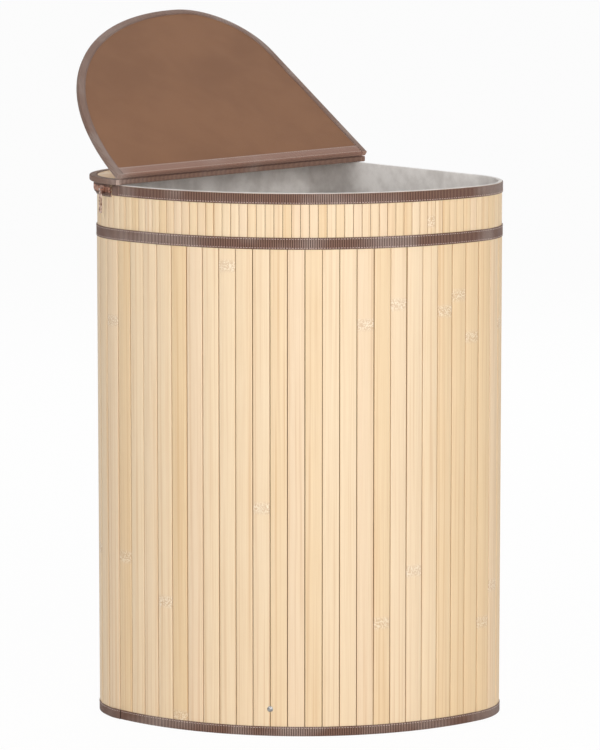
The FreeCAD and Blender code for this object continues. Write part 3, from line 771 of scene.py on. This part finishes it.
def liningRows():
    bottom, top, seed = lining["bottom"], lining["top"], lining["seed"]
    along = [wholeWall * c / lining["columns"] for c in range(lining["columns"])]
    (wide, tall), (tightWide, tightTall) = lining["wrinkleScale"], lining["puckerScale"]
    rows = []
    for r in range(lining["rows"] + 1):
        z = bottom + (top - lining["tuck"] - bottom) * r / lining["rows"]
        fade = min(1.0, (top - z) / lining["topFade"],
                   (z - bottom) / lining["bottomFade"] + lining["leastFade"])
        row = []
        for s in along:
            point = wallPoint(s, 0.0)[0]
            broad = noise.noise(Vector((point.x * wide, point.y * wide, z * tall + seed)))
            tight = noise.noise(Vector((point.x * tightWide, point.y * tightWide,
                                        z * tightTall - seed)))
            sag = (lining["wrinkle"] * max(0.0, broad + lining["wrinkleLevel"])
                   + lining["puckers"] * max(0.0, tight))
            row.append(wallSpot(s, liningMiddle - sag * fade, z))
        rows.append(row)
    return rows + [[wallSpot(s, grow, top - drop) for s in along] for grow, drop in lining["roll"]]


wallLining = clothMesh("wallLining", liningRows(), lining["thick"], "lining")
enroll(wallLining, "hamper", ["wall_lining"])
wallLength(liningMiddle)


waves = {"ringPower": 1.1, "stretch": 0.55, "seed": 1.7, "edgeRise": 6}


# sheet that fills an outline: rings that shrink to its middle, so it can be waved a little
def filledRows(outline, sizes):
    middle = sum(outline, Vector()) / len(outline)
    rows = []
    for r in range(sizes["rings"] + 1):
        part = 1 - (r / sizes["rings"]) ** waves["ringPower"]
        row = []
        for point in outline:
            p = middle + (point - middle) * part
            lift = noise.noise(Vector((p.x * sizes["scale"],
                                       p.y * sizes["scale"] * waves["stretch"], waves["seed"])))
            wave = sizes["wave"] * (0.5 + 0.5 * lift) * min(1.0, waves["edgeRise"] * (1 - part))
            row.append(Vector((p.x, p.y, sizes["height"] + wave)))
        rows.append(row)
    return rows


def flatArea(outline):
    return abs(sum(a.x * b.y - b.x * a.y for a, b in zip(outline, outline[1:] + outline[:1]))) / 2


floorSheet = {"inset": 0.0052, "points": 300, "height": 0.0374, "wave": 0.0006, "rings": 26,
              "scale": 30.0, "thick": 0.0006, "flat": (0.478, 0.4145)}
floorOutline = [wallPoint(wholeWall * c / floorSheet["points"], -floorSheet["inset"])[0]
                for c in range(floorSheet["points"])]
floorRows = [[planToHamper @ p for p in row] for row in filledRows(floorOutline, floorSheet)]
floorLining = clothMesh("floorLining", floorRows, floorSheet["thick"], "lining")
enroll(floorLining, "hamper", ["base_lining"])
flatArea(floorOutline)
print("linings made")

# the lid is drawn closed and then put in place; insets are from the outer edge or the fold edge
lid = {
    "bindWidth": 0.0100, "bindInset": 0.0004, "seamInset": 0.0016, "foldInset": 0.002,
    "ribbonWidth": 0.0140, "ribbonSeam": 0.0020, "ribbonReach": 0.6, "ribbonSteps": 120,
    "rounding": 0.0013, "sink": 0.0001, "edgePoints": 700, "foldSteps": 60,
    "lining": {"inset": 0.0016, "height": 0.6503, "wave": -0.0005, "rings": 30, "scale": 22.0,
               "thick": 0.0006},
}
lidMiddle = (hamper["lidBottom"] + hamper["lidTop"]) / 2
lidThick = hamper["lidTop"] - hamper["lidBottom"]
# which way each side lies from the fold line, its body and its ribbon's finish
lidSides = {"strip": (-1, "hamper", "binding"), "flap": (1, "flap", "ribbon")}


# the part of the grown plan outline that lies on one side of a line y = edge
def lidEdge(side, grow, edge):
    count = lid["edgePoints"]
    ring = [wallPoint(wholeWall * c / count, grow)[0] for c in range(count)]
    inside = [(p.y > edge) == (side == "flap") for p in ring]
    first = next(i for i in range(count) if inside[i] and not inside[i - 1])
    path = []
    for step in range(count + 1):
        i = (first + step) % count
        if not inside[i]:
            break
        path.append(ring[i])
    before, after = ring[first - 1], ring[i]
    for end, out, near in ((0, before, path[0]), (len(path) + 1, after, path[-1])):
        part = (edge - near.y) / (out.y - near.y)
        path.insert(end, near + (out - near) * part)
    return path


def atHeight(points, height):
    return [Vector((p.x, p.y, height)) for p in points]


# a straight row of points across the lid; reach is the share of the binding that it leaves free
def acrossLid(reach, y, z, count):
    path = lidEdge("flap", hamper["lidOverhang"] - lid["bindWidth"] * reach, y)
    low, high = sorted((path[0].x, path[-1].x))
    return [Vector((low + (high - low) * i / count, y, z)) for i in range(count + 1)]


def makeLidSide(side):
    direction, body, ribbonFinish = lidSides[side]
    edge = hamper["foldInset"] + direction * hamper["foldGap"] / 2
    place, reach, bindWidth = lidPlace[side], hamper["lidOverhang"], lid["bindWidth"]
    # binding over the outer edge
    outer = lidEdge(side, reach - bindWidth / 2, edge + direction * lid["bindInset"])
    band = bandAlong(atHeight(outer, lidMiddle), {**lid, "width": lidThick, "thick": bindWidth},
                     "binding", place)
    seam = lidEdge(side, reach - bindWidth + lid["seamInset"], edge + direction * lid["foldInset"])
    rows = [stitches(atHeight(seam, z), place, "darkThread")
            for z in (hamper["lidBottom"], hamper["lidTop"])]
    piece(side + "Binding", [band] + rows, body, [side + "_binding"])
    # ribbon over the fold edge
    line = edge + direction * lid["ribbonWidth"] / 2
    ribbon = {**lid, "width": lidThick - 2 * lid["sink"], "thick": lid["ribbonWidth"]}
    path = acrossLid(lid["ribbonReach"], line, lidMiddle, lid["ribbonSteps"])
    band = bandAlong(path, ribbon, ribbonFinish, place)
    rows = []
    for way in (-1, 1):
        y = line + way * (lid["ribbonWidth"] / 2 - lid["ribbonSeam"])
        for z in (hamper["lidBottom"] + lid["sink"], hamper["lidTop"] - lid["sink"]):
            rows.append(stitches(acrossLid(1.0, y, z, lid["foldSteps"]), place))
    piece(side + "Ribbon", [band] + rows, body, [side + "_ribbon"])
    # lining under the board
    outline = lidEdge(side, reach - lid["lining"]["inset"], edge + direction * lid["foldInset"])
    low, high = outline[0], outline[-1]
    outline += [high + (low - high) * i / lid["foldSteps"] for i in range(1, lid["foldSteps"])]
    rows = [[place @ p for p in row] for row in filledRows(outline, lid["lining"])]
    sheet = clothMesh(side + "Lining", rows, lid["lining"]["thick"], "lidCloth")
    enroll(sheet, body, [side + "_lining"])
    flatArea(outline)


for side in lidSides:
    makeLidSide(side)
print("lid made")


# copy of a CAD node's mesh with its doubles merged and its edges rounded
def roundedCopy(name, node, width, finish, body, segments=2):
    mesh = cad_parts[node].data.copy()
    work = bmesh.new()
    work.from_mesh(mesh)
    bmesh.ops.remove_doubles(work, verts=work.verts, dist=2e-6)
    bmesh.ops.dissolve_limit(work, angle_limit=math.radians(1), verts=work.verts, edges=work.edges)
    work.to_mesh(mesh)
    work.free()
    mesh.materials.clear()
    mesh.materials.append(finishes[finish])
    made = bpy.data.objects.new(name, mesh)
    scene.collection.objects.link(made)
    for polygon in mesh.polygons:
        polygon.material_index = 0
        polygon.use_smooth = True
    bevel = made.modifiers.new("rounding", "BEVEL")
    bevel.width, bevel.segments, bevel.limit_method = width, segments, "ANGLE"
    bevel.angle_limit = math.radians(30)
    bevel.harden_normals = True
    enroll(made, body, [node])


edgeWidths = {"slats": 0.0004, "slider": 0.00025, "pull": 0.00045, "pullSegments": 3}
roundedCopy("stripSlats", "strip_slats", edgeWidths["slats"], "stripSlats", "hamper")
roundedCopy("flapSlats", "flap_slats", edgeWidths["slats"], "flapSlats", "flap")
roundedCopy("zipSlider", "zip_slider", edgeWidths["slider"], "zipMetal", "slider")
roundedCopy("zipPull", "zip_pull", edgeWidths["pull"], "pullMetal", "pull",
            edgeWidths["pullSegments"])

# cloth tape on top of the lid that bends across the fold; reaches are its rows' distances from it
hinge = {"reaches": [0.0110, 0.0085, 0.0060, 0.0038, 0.0022], "thick": 0.0004, "lift": 0.0003,
         "columns": 90, "blendHalf": 0.00015}


def hingeTape():
    turned = Matrix.Rotation(math.radians(hamper["openAngle"]), 4, "X")
    half = math.radians(180 - hamper["openAngle"]) / 2
    lift, reaches = hinge["lift"], hinge["reaches"]
    ridge = Vector((0, -math.cos(half), math.sin(half))) * (lift / math.sin(half))
    profile = [foldPoint + Vector((0, -reach, lift)) for reach in reaches] + [foldPoint + ridge]
    profile += [foldPoint + turned @ Vector((0, reach, lift)) for reach in reversed(reaches)]
    fold = acrossLid(0.5, hamper["foldInset"], hamper["lidTop"], hinge["columns"])
    rows = [[planToHamper @ Vector((spot.x, p.y, p.z)) for spot in fold] for p in profile]
    cover = clothMesh("hingeTape", rows, hinge["thick"], "tape", closed=False)
    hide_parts("hinge_tape")
    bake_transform(cover)


hingeTape()

# zip: tapes with a foot below them and two rows of teeth that mesh
zipper = {
    "endAngle": 86, "startGap": 0.0008, "endGap": 0.0012, "seamOut": 0.0012, "seamHeight": 0.6345,
    "pitch": 0.0026, "tooth": 0.00155, "depth": 0.0020, "toothHeight": 0.0031, "rounding": 0.00035,
    "centre": 0.0031, "lowerRow": 0.6388, "upperRow": 0.6421, "lowerTapeShort": 0.0005,
    "foot": {"out": 0.0006, "middle": 0.6353, "width": 0.0038, "thick": 0.0011, "rounding": 0.0004},
    "lowerTape": {"out": 0.0017, "middle": 0.6374, "width": 0.0031, "thick": 0.0032,
                  "rounding": 0.0012},
    "upperTape": {"out": 0.0031, "middle": 0.6472, "width": 0.0046, "thick": 0.0006,
                  "rounding": 0.0002},
}
zipEnd = straightWall + hamper["cornerRadius"] * math.radians(zipper["endAngle"])


def zipBand(label, finish, short=0.0):
    sizes = zipper[label]
    return bandAlong(run(0, zipEnd - short, sizes["out"], sizes["middle"]), sizes, finish)


tapeRow = stitches(run(stitch["endGap"], zipEnd - stitch["endGap"], zipper["seamOut"],
                       zipper["seamHeight"]))
lowerTape = zipBand("lowerTape", "tape", zipper["lowerTapeShort"])
piece("zipTapeLower", [zipBand("foot", "webbing"), lowerTape, tapeRow], "hamper",
      ["zip_tape_lower"])
piece("zipTapeUpper", [zipBand("upperTape", "tape")], "hamper", ["zip_tape_upper"])
for name, node, bottom, shift in (("zipTeethLower", "zip_teeth_lower", zipper["lowerRow"], 0.0),
                                  ("zipTeethUpper", "zip_teeth_upper", zipper["upperRow"], 0.5)):
    path = run(zipper["startGap"] + shift * zipper["pitch"], zipEnd - zipper["endGap"],
               zipper["centre"], bottom, 0.001)
    row = grown("teeth", pathMesh(path), "zipMetal", Pitch=zipper["pitch"], Width=zipper["tooth"],
                Depth=zipper["depth"], Height=zipper["toothHeight"], Rounding=zipper["rounding"])
    piece(name, [row], "hamper", [node])
print("zip made")

# finishes of the CAD nodes that stay
nodeFinishes = {
    "base_board": "board", "base_runners": "wood", "base_rivets": "rivetMetal",
    "collar_hoop": "board", "back_corner_strip": "slats", "back_collar_strip": "slats",
    "zip_stops": "zipMetal", "strip_board": "board", "flap_board": "board",
}
for node, finish in nodeFinishes.items():
    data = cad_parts[node].data
    data.materials.clear()
    data.materials.append(finishes[finish])

# pale floor, white surroundings for the camera, soft lamps
stage = {
    "floor": colour(246, 246, 246), "floorSize": 30, "floorLift": 0.96, "worldLight": 0.31,
    "lamps": [
        {"name": "key", "place": (-2.2, -2.6, 2.3), "size": 2.2, "power": 31.0,
         "tint": (1.0, 0.99, 0.97)},
        {"name": "fill", "place": (2.2, -2.6, 1.5), "size": 2.0, "power": 31.0,
         "tint": (1.0, 0.98, 0.95)},
        {"name": "front", "place": (0.6, -4.2, 1.35), "size": 1.4, "power": 51.0,
         "tint": (1.0, 0.99, 0.97)},
        {"name": "back", "place": (0.4, 2.6, 2.4), "size": 2.4, "power": 44.0,
         "tint": (1.0, 1.0, 1.0)},
    ],
    "target": (0.0, 0.0, 0.4),
}


# 1 where the camera, a reflection or a clear surface looks straight at it
def seenRay(tree):
    rays = [tree.add("ShaderNodeLightPath", out=name)
            for name in ("Is Camera Ray", "Is Glossy Ray", "Is Transmission Ray")]
    return (rays[0] + rays[1] + rays[2]).math("MINIMUM", 1.0)


def makeFloor():
    bpy.ops.mesh.primitive_plane_add(size=stage["floorSize"])
    floor = bpy.context.object
    floor.name = "studioFloor"
    material = bpy.data.materials.new("studio_floor")
    material.use_nodes = True
    tree = Tree(material.node_tree)
    material.node_tree.nodes.clear()
    matt = tree.add("ShaderNodeBsdfDiffuse", None, {"Color": stage["floor"]})
    glow = tree.add("ShaderNodeEmission", None, {"Color": (1.0, 1.0, 1.0, 1.0), "Strength": 1.0})
    shown = tree.add("ShaderNodeMixShader", None,
                     {0: seenRay(tree) * stage["floorLift"], 1: matt, 2: glow})
    leave = material.node_tree.nodes.new("ShaderNodeOutputMaterial")
    material.node_tree.links.new(shown.socket, leave.inputs["Surface"])
    floor.data.materials.append(material)


def makeWorld():
    world = bpy.data.worlds.new("studio")
    scene.world = world
    world.use_nodes = True
    tree = Tree(world.node_tree)
    background = world.node_tree.nodes["Background"]
    background.inputs["Color"].default_value = (1, 1, 1, 1)
    strength = seenRay(tree) * (1.0 - stage["worldLight"]) + stage["worldLight"]
    world.node_tree.links.new(strength.socket, background.inputs["Strength"])


def makeLamps():
    target = Vector(stage["target"])
    for lamp in stage["lamps"]:
        data = bpy.data.lights.new(lamp["name"], "AREA")
        data.shape, data.size = "DISK", lamp["size"]
        data.energy, data.color = lamp["power"], lamp["tint"]
        made = bpy.data.objects.new(lamp["name"], data)
        made.location = lamp["place"]
        made.rotation_euler = (target - made.location).to_track_quat("-Z", "Y").to_euler()
        scene.collection.objects.link(made)


# target is how far to the side and how high the camera looks; sensor and focal are in millimetres
view = {"azimuth": 1.5, "elevation": 8.55, "distance": 5.5, "target": (-0.0009, 0.4024),
        "sensor": 36.0, "focal": 216.0}


def makeCamera():
    data = bpy.data.cameras.new("camera")
    data.sensor_width, data.lens = view["sensor"], view["focal"]
    data.clip_start, data.clip_end = 0.1, 60.0
    camera = bpy.data.objects.new("camera", data)
    scene.collection.objects.link(camera)
    turn, rise = math.radians(view["azimuth"]), math.radians(view["elevation"])
    sideways = Vector((math.cos(turn), math.sin(turn), 0))
    back = Vector((math.sin(turn) * math.cos(rise), -math.cos(turn) * math.cos(rise),
                   math.sin(rise)))
    aside, up = view["target"]
    camera.location = sideways * aside + Vector((0, 0, up)) + back * view["distance"]
    camera.rotation_euler = (math.pi / 2 - rise, 0, turn)
    scene.camera = camera


makeFloor()
makeWorld()
makeLamps()
makeCamera()
scene.view_settings.view_transform = "Standard"
print("stage, lamps and camera made")
